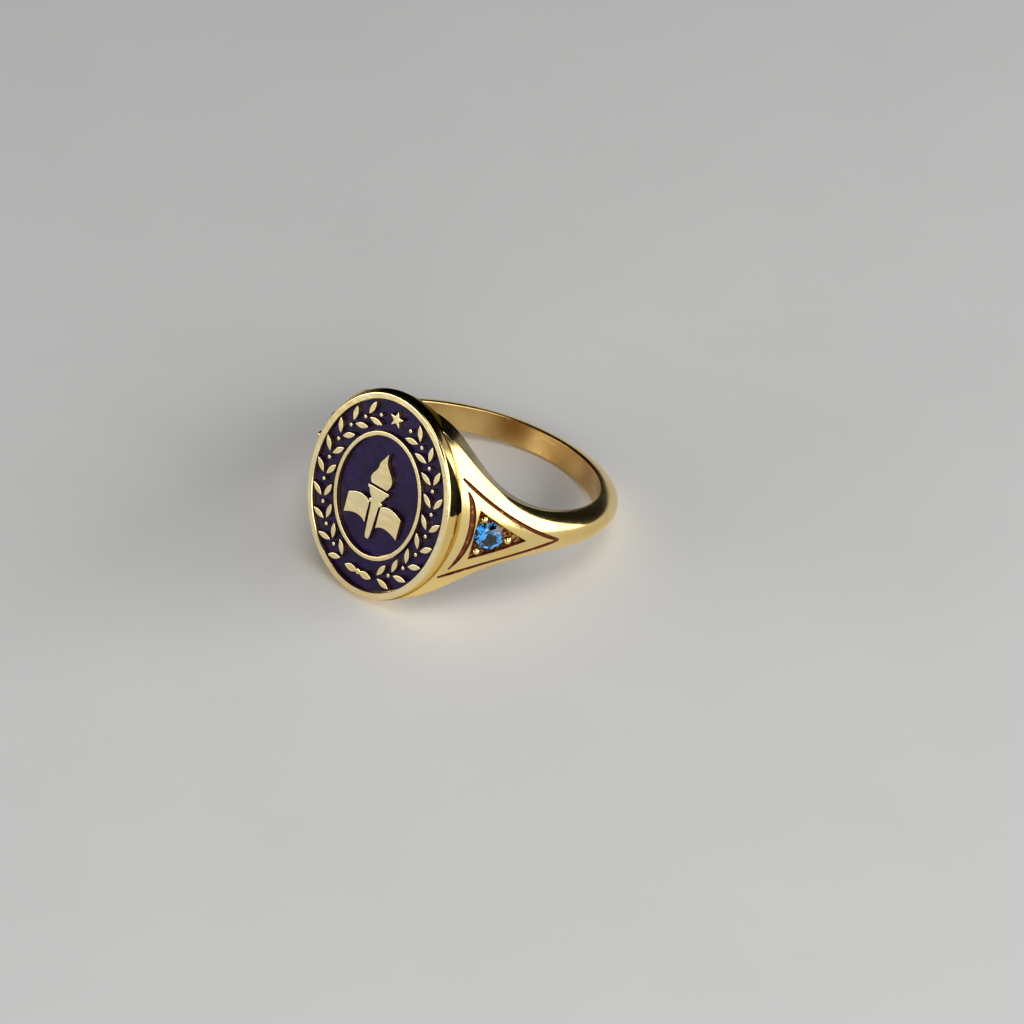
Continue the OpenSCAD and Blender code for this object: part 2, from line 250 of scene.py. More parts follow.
# Hand polish: the surface is very slightly wavy, with fine strokes from the polishing mop
hand_polish, end = effect("hand_polish", Tint="Float", Roughness="Float", Normal="Vector")
place = add(hand_polish, "TexCoord").outputs["Object"]
strokes = add(hand_polish, "Mapping", {"Vector": place, "Rotation": (0.5, 0.3, 0.9),
                                       "Scale": (1, 8, 1.5)}).outputs[0]
scratches = noise(hand_polish, strokes, 0.5, 4, 0.7)
waves = noise(hand_polish, place, 0.9, 1)
height = sums(hand_polish, "ADD", waves, sums(hand_polish, "MULTIPLY", scratches, 0.1))
bump = add(hand_polish, "Bump", {"Height": height, "Strength": 0.5, "Distance": 0.012 * MM})
hand_polish.links.new(spread(hand_polish, noise(hand_polish, place, 1.6, 3), 0.3, 0.7),
                      end.inputs["Tint"])
hand_polish.links.new(spread(hand_polish, scratches, 0.35, 0.75, 0.11, 0.2),
                      end.inputs["Roughness"])
hand_polish.links.new(bump.outputs[0], end.inputs["Normal"])

bright_gold = (0.98, 0.76, 0.33)
deep_gold = (0.93, 0.66, 0.23)


def polished_nodes(tree):
    polish = use(tree, hand_polish)
    return {"Base_Color": blend(tree, polish["Tint"], bright_gold, deep_gold),
            "Roughness": polish["Roughness"], "Normal": polish["Normal"]}


gold = new_finish("polished_gold", 1, polished_nodes)
metal.data.materials.append(gold)


def finished(piece, finish, faces=slice(None), rest=None):
    """The chosen faces of the piece, or all, get this finish, and its others the rest's finish."""
    if piece != metal:
        piece.data.materials.clear()
        for material in metal.data.materials:
            piece.data.materials.append(material)
    slots = np.array([face.material_index for face in piece.data.polygons])
    if rest:
        slots[:] = metal.data.materials.find(rest.name)
    slots[faces] = metal.data.materials.find(finish.name)
    piece.data.polygons.foreach_set("material_index", slots)
    return piece


# The upright sides are painted dark, olive to near black, as a painted reflection of the dark
# surroundings they face
painted_reflection_pale = (0.50, 0.37, 0.15)
painted_reflection_deep = (0.22, 0.16, 0.06)


def painted_reflection_nodes(tree):
    polish = use(tree, hand_polish)
    reflection_haze = spread(tree, noise(tree, add(tree, "TexCoord").outputs["Object"], 1.1, 3), 0.3, 0.7)
    return {"Base_Color": blend(tree, reflection_haze, painted_reflection_pale, painted_reflection_deep),
            "Roughness": polish["Roughness"], "Normal": polish["Normal"]}


painted_reflection_gold = new_finish("painted_reflection_gold", 1, painted_reflection_nodes)
metal.data.materials.append(painted_reflection_gold)
# The faces of the upright sides get the painted dark reflection
centres = np.array([face.center for face in metal.data.polygons])
round_ring = np.abs(np.degrees(np.arctan2(centres[:, 0], -centres[:, 1])))
side_top = bore_r + crown(round_ring)[0] - edge_round / 2
finished(metal, painted_reflection_gold, (np.hypot(centres[:, 0], centres[:, 1]) < side_top)
         & (np.abs(centres[:, 2]) > 0.9 * half_width(round_ring)))

# Head
# The oval head stands on the shoulders. Its side wall swells out below the face and leans in
# under it, the face's outer edge is rounded over by polishing, and a flat bottomed pocket is
# sunk in the face for the enamel.
oval_a = 14.6 / 2
oval_b = 12.1 / 2
head_swell = 0.12
swell_depth = 0.75
end_lean = math.tan(math.radians(24))
side_lean = math.tan(math.radians(3))
lean_blend = 0.45
rim_round = 0.145
rim_w = 0.5
pocket_edge = 0.05
enamel_recess = 0.38
enamel_thick = 0.35
pocket_depth = enamel_recess + enamel_thick
oval_points = 192
head_root = 4.6
hidden_root = 0.2
wall_step = 0.09


def wall_offset(depth, lean):
    """How far the head's wall stands outside the face's oval, at a depth below the face."""
    climb = min(max((depth - rim_round) / (swell_depth - rim_round), 0), 1)
    past = min(max(depth - swell_depth + lean_blend / 2, 0), lean_blend)
    fall = past ** 2 / 2 / lean_blend + max(depth - swell_depth - lean_blend / 2, 0)
    return head_swell * math.sin(math.radians(90) * climb) - lean * fall


def stacked_ovals(name, a, b, rows):
    """An oval disc extruded from row to row. Each row gives how far it stands outside the oval
    at the ends and at the sides, and its height; the piece is then turned to face out."""
    deselect()
    bpy.ops.mesh.primitive_circle_add(vertices=oval_points, radius=1, fill_type="NGON")
    piece = bpy.context.active_object
    piece.name = piece.data.name = name
    bpy.ops.object.mode_set(mode="EDIT")
    bpy.ops.mesh.select_all(action="SELECT")
    across, along, height = 1, 1, 0
    for step, (out_a, out_b, level) in enumerate(rows):
        if step:
            bpy.ops.mesh.extrude_region_move()
        bpy.ops.transform.translate(value=(0, 0, level - height))
        bpy.ops.transform.resize(value=((b + out_b) / across, (a + out_a) / along, 1),
                                 center_override=(0, 0, 0))
        across, along, height = b + out_b, a + out_a, level
    bpy.ops.mesh.select_all(action="SELECT")
    bpy.ops.mesh.normals_make_consistent(inside=False)
    bpy.ops.object.mode_set(mode="OBJECT")
    piece.data.transform(Matrix.Rotation(math.radians(90), 4, "X"))
    return piece


def cut(piece, tools, operation="DIFFERENCE"):
    """The tools are cut from the piece, or joined to it, and then removed."""
    group = bpy.data.collections.new("tools")
    for tool in tools:
        group.objects.link(tool)
    only(piece)
    bpy.ops.object.modifier_add(type="BOOLEAN")
    step = piece.modifiers[-1]
    step.operation = operation
    step.solver = "EXACT"
    step.operand_type = "COLLECTION"
    step.collection = group
    bpy.ops.object.modifier_apply(modifier=step.name)
    for tool in tools:
        bpy.data.objects.remove(tool)
    bpy.data.collections.remove(group)


edge_turns = [math.radians(t) for t in (0, 22, 45, 68, 90)]
wall_rows = [(rim_round * (math.sin(t) - 1),) * 2 + (face_r - rim_round * (1 - math.cos(t)),)
             for t in edge_turns]
wall_rows += [(wall_offset(d, end_lean), wall_offset(d, side_lean), face_r - d)
              for d in np.arange(rim_round + wall_step, head_root, wall_step)]
head = stacked_ovals("head", oval_a, oval_b, wall_rows)

# The side wall's upper half, in the nook between the rim and the shoulder, is painted dark as
# painted shade and dark reflection.
# The painted shade is a wedge: it narrows towards the top of the oval, and its lower end is
# ragged. Round the top of the oval the wall is painted dark too, the same painted dark reflection
# as on the shoulders' upright sides.
finger_way = Vector(hole["axis"])
face_way = Vector((0, -hole["axis"][2], hole["axis"][1]))
shade_from = 1.2
shade_length = 4.0
shade_slope = 0.34
shade_wave = 1.3
painted_reflection_from = 4.7
painted_reflection_end = (0.14, 0.10, 0.04)
painted_shade_dark = (0.012, 0.010, 0.005)
painted_shade_olive = (0.10, 0.075, 0.02)


def painted_shade_nodes(tree):
    polish = use(tree, hand_polish)
    place = add(tree, "TexCoord").outputs["Object"]
    from_hole = add(tree, "VectorMath", {0: place, 1: Vector(hole["pos_m"])},
                    operation="SUBTRACT").outputs[0]
    along, up = (sums(tree, "DIVIDE", add(tree, "VectorMath", {0: from_hole, 1: way},
                                          operation="DOT_PRODUCT").outputs["Value"], MM)
                 for way in (finger_way, face_way))
    uneven = sums(tree, "MULTIPLY", noise(tree, place, 0.7, 4, 0.6), shade_wave)
    start = shade_from + shade_wave / 2
    lower = spread(tree, sums(tree, "ADD", along, uneven), start, start + 0.18)
    depth = sums(tree, "SUBTRACT", face_r, up)
    width = sums(tree, "ADD", depth, sums(tree, "MULTIPLY", along, shade_slope))
    limit = rim_round + shade_slope * (shade_from + shade_length)
    wedge = spread(tree, width, limit, limit + 0.12, 1, 0)
    shade_cover = sums(tree, "MULTIPLY", lower, wedge)
    grain = spread(tree, noise(tree, place, 0.16, 3, 0.65), 0.56, 0.78)
    painted_shade_colour = blend(tree, grain, painted_shade_dark, painted_shade_olive)
    wall = blend(tree, shade_cover, deep_gold, painted_shade_colour)
    end = spread(tree, along, painted_reflection_from, painted_reflection_from + 0.8)
    return {"Base_Color": blend(tree, end, wall, painted_reflection_end),
            "Roughness": spread(tree, shade_cover, 0, 1, 0.16, 0.42), "Normal": polish["Normal"]}


painted_shade_gold = new_finish("painted_shade_gold", 1, painted_shade_nodes, Specular_Tint=(0.42, 0.35, 0.2, 1))
metal.data.materials.append(painted_shade_gold)
# Wall faces below the rounded rim get the painted shade and painted dark reflection
wall_depth = np.array([face.center.y + face_r for face in head.data.polygons])
finished(head, painted_shade_gold, (wall_depth > rim_round) & (wall_depth < head_root - hidden_root))
cut(metal, [head], "UNION")

pocket_rows = [(0, 0, face_r - pocket_depth), (0, 0, face_r - 2 * pocket_edge)]
pocket_rows += [(pocket_edge * (1 - math.cos(t)),) * 2
                + (face_r - pocket_edge * (1 - math.sin(t)),) for t in edge_turns[:-1]]
pocket_rows += [(pocket_edge * 1.1,) * 2 + (face_r + rise,) for rise in (0.02, 1)]
pocket = stacked_ovals("pocket", oval_a - rim_w, oval_b - rim_w, pocket_rows)
cut(metal, [pocket])

# Finger hole
# The hole is turned and polished, and its edges are rounded over so that they don't cut the
# finger. The rounding follows the edge all the way: along the band's sides and under the head.
bore_round = 0.12
hole_steps = 288
hole_flare = 0.3


def hole_edge(angle):
    """Height of the hole's edge: the band's side, or the head's wall where that stands out."""
    angle = np.abs((angle + 180) % 360 - 180)
    depth = face_r - bore_r * np.cos(np.radians(np.minimum(angle, 60)))
    out_a = np.array([wall_offset(d, end_lean) for d in depth])
    out_b = np.array([wall_offset(d, side_lean) for d in depth])
    share = bore_r * np.sin(np.radians(np.minimum(angle, 60))) / (oval_b + out_b)
    wall = (oval_a + out_a) * np.sqrt(np.clip(1 - share ** 2, 0, 1))
    return np.maximum(half_width(angle), wall)


edge_rows = [(bore_round * (1 - math.cos(t)), bore_round * (math.sin(t) - 1)) for t in edge_turns]
edge_rows.append((bore_round + hole_flare, 1))
edge_rows.append((bore_round + 3 * hole_flare, 3))
edge_out, edge_up = np.array(edge_rows).T
hole_out = np.r_[edge_out[::-1], edge_out]
hole_up = np.r_[-edge_up[::-1], edge_up]
hole_side = np.sign(np.arange(len(hole_out)) - len(edge_out) + 0.5)
hole_tool = rolled_grid(
    "hole_tool", hole_steps, len(hole_out) - 1,
    lambda u, v: on_ring(u * 360 / hole_steps, bore_r + hole_out[v],
                         hole_side[v] * hole_edge(u * 360 / hole_steps) + hole_up[v]))


# Inside, the casting is only brushed, and its colour is painted darker and browner in broad
# patches as painted shade and reflection
inside_pale = (0.92, 0.65, 0.25)
inside_painted_shade = (0.58, 0.33, 0.105)


def inside_shade_nodes(tree):
    polish = use(tree, hand_polish)
    shade_patches = spread(tree, noise(tree, add(tree, "TexCoord").outputs["Object"], 3.2, 2), 0.38, 0.62)
    return {"Base_Color": blend(tree, shade_patches, inside_pale, inside_painted_shade),
            "Roughness": spread(tree, polish["Roughness"], 0.1, 0.2, 0.18, 0.28),
            "Normal": polish["Normal"]}


brushed_shaded_gold = new_finish("brushed_shaded_gold", 1, inside_shade_nodes)
metal.data.materials.append(brushed_shaded_gold)
cut(metal, [finished(hole_tool, brushed_shaded_gold)])

# Engraved panels
# A three sided panel on each shoulder is drawn with a graver: two bowed lines run from the
# head to a point on the band, and a broader line follows the head's wall. The cuts are left
# dark, and their edges are burnished bright.
stone_angle = 44.5
panel_start = 31
panel_end = 73.5
panel_w = 7.4
groove_w = 0.2
groove_depth = 0.2
groove_lip = 0.045
line_bend = (0.45, 0.38)
line_steps = 28
crescent_gap = 0.5
crescent_w = 0.36
crescent_l = 5.8
blunt_power = 6
thin_power = 2
crescent_steps = 36


def skin_r(angle, z):
    """Radius of the shoulders' surface."""
    side, rise, fall = crown(angle)
    share = np.minimum(np.abs(z) / half_width(angle), 1) ** (2 / fall)
    return bore_r + side + (outer_r(angle) - bore_r - side) * (1 - share) ** (rise / 2)


def panel_point(x, z):
    """Angle on the ring of a point of the panel's plane, which is square to the stone."""
    angle = np.full(np.shape(x), float(stone_angle))
    for _ in range(6):
        angle = stone_angle + np.degrees(np.arcsin(x / skin_r(angle, z)))
    return angle


def graver_cut(name, x, z, width, depth):
    """A cutter swept along a line of the panel, with its own width and depth at each point."""
    angle = panel_point(x, z)
    middle = on_ring(angle, skin_r(angle, z), z)
    nudge = 0.02
    by_angle = on_ring(angle + nudge, skin_r(angle + nudge, z), z) - middle
    by_z = on_ring(angle, skin_r(angle, z + nudge), z + nudge) - middle
    out = np.cross(by_angle, by_z)
    out /= np.linalg.norm(out, axis=1)[:, None]
    out *= np.sign((out * on_ring(angle, 1, 0 * z)).sum(axis=1))[:, None]
    way = np.gradient(middle, axis=0)
    side = np.cross(out, way)
    side /= np.linalg.norm(side, axis=1)[:, None]
    half, lip = width / 2, groove_lip + 0 * width
    # Each point of the cutter's left half: its distance from the line, and its height
    left = [(half + lip, 0.25 + 0 * half), (half + lip, 0.004 + 0 * half), (half, -lip),
            (half * 0.72, -depth * 0.8), (half * 0.3, -depth)]
    rim = np.array(left + [(-a, b) for a, b in reversed(left)])
    rim = np.vstack([rim, rim[:1]])
    return rolled_grid(name, len(rim) - 1, len(x) - 1, lambda u, v: (
        middle[v] + side[v] * rim[u, 0, v][:, None] + out[v] * rim[u, 1, v][:, None]))


def mirrored(piece, axis):
    """A copy of the piece on the other side of the ring."""
    twin = piece.copy()
    twin.data = piece.data.copy()
    scene.collection.objects.link(twin)
    twin.data.transform(Matrix.Scale(-1, 4, axis))
    twin.data.flip_normals()
    return twin


# Old polish and tarnish make the cuts a reddish brown, with paler marks where they are rubbed
cut_brown = (0.20, 0.058, 0.024)
cut_rubbed = (0.48, 0.20, 0.075)


def cut_nodes(tree):
    place = add(tree, "TexCoord").outputs["Object"]
    rubbed = spread(tree, noise(tree, place, 0.22, 3, 0.6), 0.5, 0.72)
    bump = add(tree, "Bump", {"Height": rubbed, "Strength": 0.6, "Distance": 0.02 * MM})
    return {"Base_Color": blend(tree, rubbed, cut_brown, cut_rubbed),
            "Roughness": spread(tree, rubbed, 0, 1, 0.6, 0.4), "Normal": bump.outputs[0]}


darkened_gold = new_finish("darkened_gold", 1, cut_nodes)
metal.data.materials.append(darkened_gold)
share = np.linspace(0, 1, line_steps + 1)
start_x = outer_r(panel_start) * math.sin(math.radians(panel_start - stone_angle))
end_x = outer_r(panel_end) * math.sin(math.radians(panel_end - stone_angle))
bend_x = start_x + (end_x - start_x) * line_bend[0]
bend_z = panel_w / 2 * line_bend[1]
line_x = (1 - share) ** 2 * start_x + 2 * share * (1 - share) * bend_x + share ** 2 * end_x
line_z = (1 - share) ** 2 * panel_w / 2 + 2 * share * (1 - share) * bend_z
thin_ends = np.minimum(1, 0.45 + 6 * np.minimum(share, 1 - share))
upper_line = graver_cut("upper_line", line_x, line_z, groove_w * thin_ends,
                        groove_depth * thin_ends)
lower_line = graver_cut("lower_line", line_x, -line_z, groove_w * thin_ends,
                        groove_depth * thin_ends)

crescent_z = np.linspace(-0.5, 0.5, crescent_steps + 1) * crescent_l
fullness = 1 - np.abs(2 * crescent_z / crescent_l) ** np.where(
    crescent_z > 0, blunt_power, thin_power)
crescent_width = 0.03 + (crescent_w - 0.03) * fullness
across = oval_b * np.sqrt(1 - (crescent_z / oval_a) ** 2) + crescent_gap + crescent_width / 2
crescent_x = across * math.cos(math.radians(stone_angle)) - np.sqrt(
    outer_r(panel_start + 8) ** 2 - across ** 2) * math.sin(math.radians(stone_angle))
crescent = graver_cut("crescent", crescent_x, crescent_z, crescent_width,
                      0.06 + (groove_depth - 0.06) * fullness ** 0.5)

gravers = [finished(tool, darkened_gold) for tool in (upper_line, lower_line, crescent)]
cut(metal, gravers + [mirrored(tool, (1, 0, 0)) for tool in gravers])

# Recess, seat and beads
# Round each stone a three cornered recess is cut with a flat graver. The stone sits in a drilled
# and burred seat in its floor, under three beads of metal that are raised beside it and pushed
# over its girdle.
stone_r = 1
crown_h = 0.3
girdle_h = 0.06
pavilion_h = 0.82
girdle_r = float(outer_r(stone_angle)) - 0.2
stone_gap = 0.03
recess_depth = 0.3
recess_tip = 1.6
recess_side = 0.8
recess_lip = 0.03
recess_steps = 10
bead_r = 0.28
bead_turns = (0, 115, -115)
stump_stretch = 3.2
stump_flare = 0.12
seat_point = 0.1
to_shoulder = (Matrix.Rotation(math.radians(stone_angle), 4, "Z")
               @ Matrix.Rotation(math.radians(90), 4, "X"))

corners = np.array([(0.04 - stone_r, stone_r + recess_side), (stone_r + recess_tip, 0),
                    (0.04 - stone_r, -stone_r - recess_side)])
step_share = np.arange(recess_steps)[:, None] / recess_steps
recess_outline = np.concatenate([corners[i] + (corners[(i + 1) % 3] - corners[i]) * step_share
                                 for i in range(3)])
recess_centre = corners.mean(axis=0)


def recess_tool():
    """Cutter whose walls follow the three sides, and whose floor follows the shoulder."""
    # Each row: its share of the outline, and its height over the shoulder
    rows = [(1.03, 0.3), (1.03, 0.004), (1, -recess_lip), (0.955, -recess_depth)]
    grow = np.array([r[0] for r in rows])
    level = np.array([r[1] for r in rows])
    count = len(recess_outline)

    def place(u, v):
        xy = recess_centre + (recess_outline[u % count] - recess_centre) * grow[v][:, None]
        angle = panel_point(xy[:, 0], xy[:, 1])
        out = on_ring(np.full(len(u), stone_angle), 1.0, 0.0 * xy[:, 0])
        return on_ring(angle, skin_r(angle, xy[:, 1]), xy[:, 1]) + out * level[v][:, None]

    return rolled_grid("recess", count, len(rows) - 1, place)


def stone_seat():
    """Burred seat: a straight wall for the girdle over a cone for the pavilion."""
    deselect()
    bpy.ops.mesh.primitive_cylinder_add(
        vertices=64, radius=stone_r + stone_gap, depth=1,
        location=(0, 0, girdle_r - girdle_h - stone_gap + 0.5))
    piece = bpy.context.active_object
    piece.name = "seat"
    bpy.ops.object.transform_apply(location=True)
    bpy.ops.object.mode_set(mode="EDIT")
    bpy.ops.mesh.select_all(action="DESELECT")
    bpy.ops.object.mode_set(mode="OBJECT")
    for face in piece.data.polygons:
        face.select = face.normal.z < -0.9
    bpy.ops.object.mode_set(mode="EDIT")
    bpy.ops.mesh.extrude_region_move(TRANSFORM_OT_translate={"value": (0, 0, -pavilion_h)})
    bpy.ops.transform.resize(value=(seat_point, seat_point, 1))
    bpy.ops.object.mode_set(mode="OBJECT")
    piece.data.transform(to_shoulder)
    return piece


def bead(turn):
    """A round bead on the stump that the graver raised it from."""
    deselect()
    out = stone_r + bead_r + stone_gap
    bpy.ops.mesh.primitive_uv_sphere_add(segments=32, ring_count=20, radius=bead_r)
    piece = bpy.context.active_object
    piece.name = "bead"
    points = points_of(piece)
    below = points[:, 2] < 0
    points[below, 2] *= stump_stretch
    points[below, :2] *= 1 + stump_flare * np.minimum(-points[below, 2:3], 0.5)
    move_points(piece, points)
    place = to_shoulder @ Matrix.Rotation(math.radians(turn), 4, "Z") @ Matrix.Translation(
        (out, 0, girdle_r))
    piece.data.transform(place)
    return piece


# The floor was stippled with a point, so tarnish sits in the pits and the tops shine
floor_brown = (0.09, 0.028, 0.012)
floor_bright = (0.62, 0.33, 0.10)
pit_size = 0.19


def stippled_nodes(tree):
    place = add(tree, "TexCoord").outputs["Object"]
    pits = add(tree, "TexVoronoi", {"Vector": place,
                                    "Scale": 1 / (pit_size * MM)}).outputs["Distance"]
    tops = spread(tree, sums(tree, "ADD", sums(tree, "MULTIPLY", pits, 0.5),
                             noise(tree, place, 0.2, 3, 0.6)), 0.72, 1.02)
    bump = add(tree, "Bump", {"Height": tops, "Strength": 1.0, "Distance": 0.03 * MM})
    return {"Base_Color": blend(tree, tops, floor_brown, floor_bright),
            "Roughness": spread(tree, tops, 0, 1, 0.55, 0.3), "Normal": bump.outputs[0]}


stippled_gold = new_finish("stippled_gold", 1, stippled_nodes)
metal.data.materials.append(stippled_gold)
recess = recess_tool()
shoulder_way = to_shoulder.col[2].to_3d()
finished(recess, stippled_gold, [face.normal.dot(shoulder_way) < -0.9
                                 for face in recess.data.polygons], darkened_gold)
seat = finished(stone_seat(), darkened_gold)
cut(metal, [recess, seat, mirrored(recess, (1, 0, 0)), mirrored(seat, (1, 0, 0))])
beads = [bead(turn) for turn in bead_turns]
cut(metal, beads + [mirrored(b, (1, 0, 0)) for b in beads], "UNION")

# Raised ornament
# The casting stands up through the enamel to the level of the rim: a narrow oval ring, a
# laurel wreath with a star and a knot outside it, and a torch with an open book inside it.
# The flat tops are polished with the rim, so their edges are a little rounded.
wreath_l = 2.25
wreath_w = 1.85
inner_rim_w = 0.28
leaf_l = 1.12
leaf_w = 0.4
leaf_pitch = 1.36
leaf_angle = 38
berry_r = 0.13
torch_l = 6.3
book_w = 4.7
star_r = 0.625
star_waist = 0.4
page_l = 1.85
book_drop = 1.35
branch_start = 1.35
berry_share = 0.74
leaf_spread = 0.3
knot_leaf_w = 0.52
knot_gap = 0.06
knot_size = 1.5
relief_edge = 0.035
relief_root = face_r - pocket_depth - 0.1

field_a, field_b = oval_a - rim_w, oval_b - rim_w
inner_a, inner_b = field_a - wreath_l, field_b - wreath_w
path_a, path_b = (field_a + inner_a) / 2, (field_b + inner_b) / 2
path_length = math.pi * (3 * (path_a + path_b)
                         - math.sqrt((3 * path_a + path_b) * (path_a + 3 * path_b)))
pairs = math.floor(path_length / 2 / leaf_pitch - 2 * branch_start + 0.5)
wreath_start = 360 / path_length * leaf_pitch * branch_start
wreath_step = (180 - 2 * wreath_start) / (pairs - 0.5)


def flowing(points, sharp=(), steps=6):
    """Closed outline that flows smoothly through its points and keeps the sharp corners."""
    points = np.array(points, float)
    count = len(points)
    outline = []
    for i in range(count):
        before, a, b, after = (points[(i + k) % count] for k in (-1, 0, 1, 2))
        leave = (b - a) if i in sharp else (b - before) / 2
        arrive = (b - a) if (i + 1) % count in sharp else (after - a) / 2
        for t in np.arange(steps) / steps:
            outline.append((2 * t ** 3 - 3 * t ** 2 + 1) * a + (t ** 3 - 2 * t ** 2 + t) * leave
                           + (3 * t ** 2 - 2 * t ** 3) * b + (t ** 3 - t ** 2) * arrive)
    return outline


def raised(name, outline, edge=relief_edge):
    """A flat figure that stands up from the pocket's floor, with its top edge rounded."""
    deselect()
    bpy.ops.mesh.primitive_circle_add(vertices=len(outline), radius=1, fill_type="NGON")
    piece = bpy.context.active_object
    piece.name = piece.data.name = name
    turn = np.arctan2(points_of(piece)[:, 1], points_of(piece)[:, 0])
    order = np.argsort(np.argsort((turn - turn[0]) % (2 * math.pi)))
    flat = np.array(outline)[order]
    move_points(piece, np.c_[flat, np.full(len(flat), relief_root)])
    bpy.ops.object.mode_set(mode="EDIT")
    bpy.ops.mesh.select_all(action="SELECT")
    bpy.ops.mesh.extrude_region_move(
        TRANSFORM_OT_translate={"value": (0, 0, face_r - relief_root)})
    bpy.ops.mesh.select_all(action="SELECT")
    bpy.ops.mesh.normals_make_consistent(inside=False)
    bpy.ops.mesh.select_all(action="DESELECT")
    bpy.ops.object.mode_set(mode="OBJECT")
    for side in piece.data.edges:
        side.select = min(piece.data.vertices[v].co.z for v in side.vertices) > face_r - 0.01
    bpy.ops.object.mode_set(mode="EDIT")
    bpy.ops.mesh.bevel(offset=edge, segments=2, affect="EDGES", clamp_overlap=True)
    bpy.ops.object.mode_set(mode="OBJECT")
    return piece


def leaf_outline(length, width):
    side = np.linspace(0, 1, 13)
    bulge = width / 2 * np.sin(np.pi * side) ** 0.9
    upper = np.c_[length * side, bulge]
    lower = np.c_[length * side[-2:0:-1], -bulge[-2:0:-1]]
    return np.vstack([upper, lower])


def copy_at(piece, place):
    twin = piece.copy()
    twin.data = piece.data.copy()
    scene.collection.objects.link(twin)
    twin.data.transform(place)
    return twin


def flat_turn(angle):
    return Matrix.Rotation(math.radians(angle), 4, "Z")


leaf = raised("leaf", leaf_outline(leaf_l, leaf_w))
berry = raised("berry", [(berry_r * math.cos(t), berry_r * math.sin(t))
                         for t in np.arange(20) * math.pi / 10])
relief = []
for i in range(pairs):
    at = math.radians(-90 + wreath_start + i * wreath_step)
    after = at + math.radians(wreath_step * berry_share)
    way = math.degrees(math.atan2(path_a * math.cos(at), -path_b * math.sin(at)))
    here = Matrix.Translation((path_b * math.cos(at), path_a * math.sin(at), 0)) @ flat_turn(way)
    for side in (-1, 1):
        relief.append(copy_at(leaf, here @ Matrix.Translation((0, side * leaf_w * leaf_spread, 0))
                              @ flat_turn(side * leaf_angle)))
    relief.append(copy_at(berry, Matrix.Translation(
        (path_b * math.cos(after), path_a * math.sin(after), 0))))
relief += [mirrored(piece, (1, 0, 0)) for piece in relief]

star = raised("star", [(r * math.sin(math.pi / 5 * i), path_a + r * math.cos(math.pi / 5 * i))
                       for i, r in enumerate([star_r, star_r * star_waist] * 5)][::-1])
knot_leaf = raised("knot_leaf", leaf_outline(leaf_l, knot_leaf_w))
knot_place = Matrix.Translation((0, -path_a, 0))
for side in (0, 180):
    relief.append(copy_at(knot_leaf, knot_place @ flat_turn(side)
                          @ Matrix.Translation((leaf_l * knot_gap, 0, 0))))
relief.append(copy_at(berry, knot_place @ Matrix.Diagonal((knot_size, knot_size, 1, 1))))
relief.append(star)
for pattern in (leaf, berry, knot_leaf):
    bpy.data.objects.remove(pattern)

# Torch: each row is a height and a half width, as shares of the torch's length
torch_rows = [(-0.5, 0.02), (-0.46, 0.034), (-0.1, 0.056), (-0.092, 0.09), (-0.06, 0.09),
              (-0.052, 0.06), (0, 0.1), (0.05, 0.125), (0.052, 0.145), (0.085, 0.145)]
torch_outline = [(torch_l * w, torch_l * h) for h, w in torch_rows]
torch_outline += [(-x, y) for x, y in reversed(torch_outline)]
relief.append(raised("torch", torch_outline))
flame_points = [(0.115, -0.11, 0.11), (0.17, -0.135, 0.14), (0.22, -0.12, 0.145),
                (0.27, -0.085, 0.125), (0.32, -0.065, 0.085), (0.37, -0.06, 0.045),
                (0.42, -0.03, 0.025), (0.5, 0.018, 0.02)]
flame_right = [(torch_l * r, torch_l * h) for h, l, r in flame_points]
flame_left = [(torch_l * l, torch_l * h) for h, l, r in reversed(flame_points)]
flame_sharp = (0, len(flame_points) - 1, len(flame_points), 2 * len(flame_points) - 1)
relief.append(raised("flame", flowing(flame_right + flame_left, flame_sharp)))
page_points = [(0.21, -0.44), (0.33, -0.34), (0.52, -0.29), (0.76, -0.34), (1, -0.46),
               (1, 0.34), (0.76, 0.48), (0.52, 0.53), (0.33, 0.48), (0.21, 0.38)]
page = raised("page", flowing([(x * book_w / 2, y * page_l - book_drop) for x, y in page_points],
                              (0, 4, 5, 9)))
relief += [page, mirrored(page, (1, 0, 0))]


def oval_ring(name, a, b, width):
    """Narrow raised oval, rolled up from its rounded section."""
    e = relief_edge
    rim = np.array([(0, relief_root), (0, face_r - e), (-0.3 * e, face_r - 0.3 * e),
                    (-e, face_r), (e - width, face_r), (0.3 * e - width, face_r - 0.3 * e),
                    (-width, face_r - e), (-width, relief_root)])

    def place(u, v):
        turn = v * 2 * math.pi / oval_points
        off, level = rim[u % len(rim)].T
        return np.c_[(b + off) * np.sin(turn), (a + off) * np.cos(turn), level]

    return rolled_grid(name, len(rim), oval_points, place)


relief.append(oval_ring("inner_rim", inner_a, inner_b, inner_rim_w))
to_head = Matrix.Rotation(math.radians(90), 4, "X")
for piece in relief:
    piece.data.transform(to_head)
cut(metal, relief, "UNION")

# The rim and the tops of the ornament, the flat faces turned up to the lights, are painted paler
# and brighter as a painted highlight
highlight_pale = (1.0, 0.85, 0.50)
highlight_warm = (1.0, 0.78, 0.38)


def painted_highlight_nodes(tree):
    polish = use(tree, hand_polish)
    return {"Base_Color": blend(tree, polish["Tint"], highlight_pale, highlight_warm),
            "Roughness": polish["Roughness"], "Normal": polish["Normal"]}


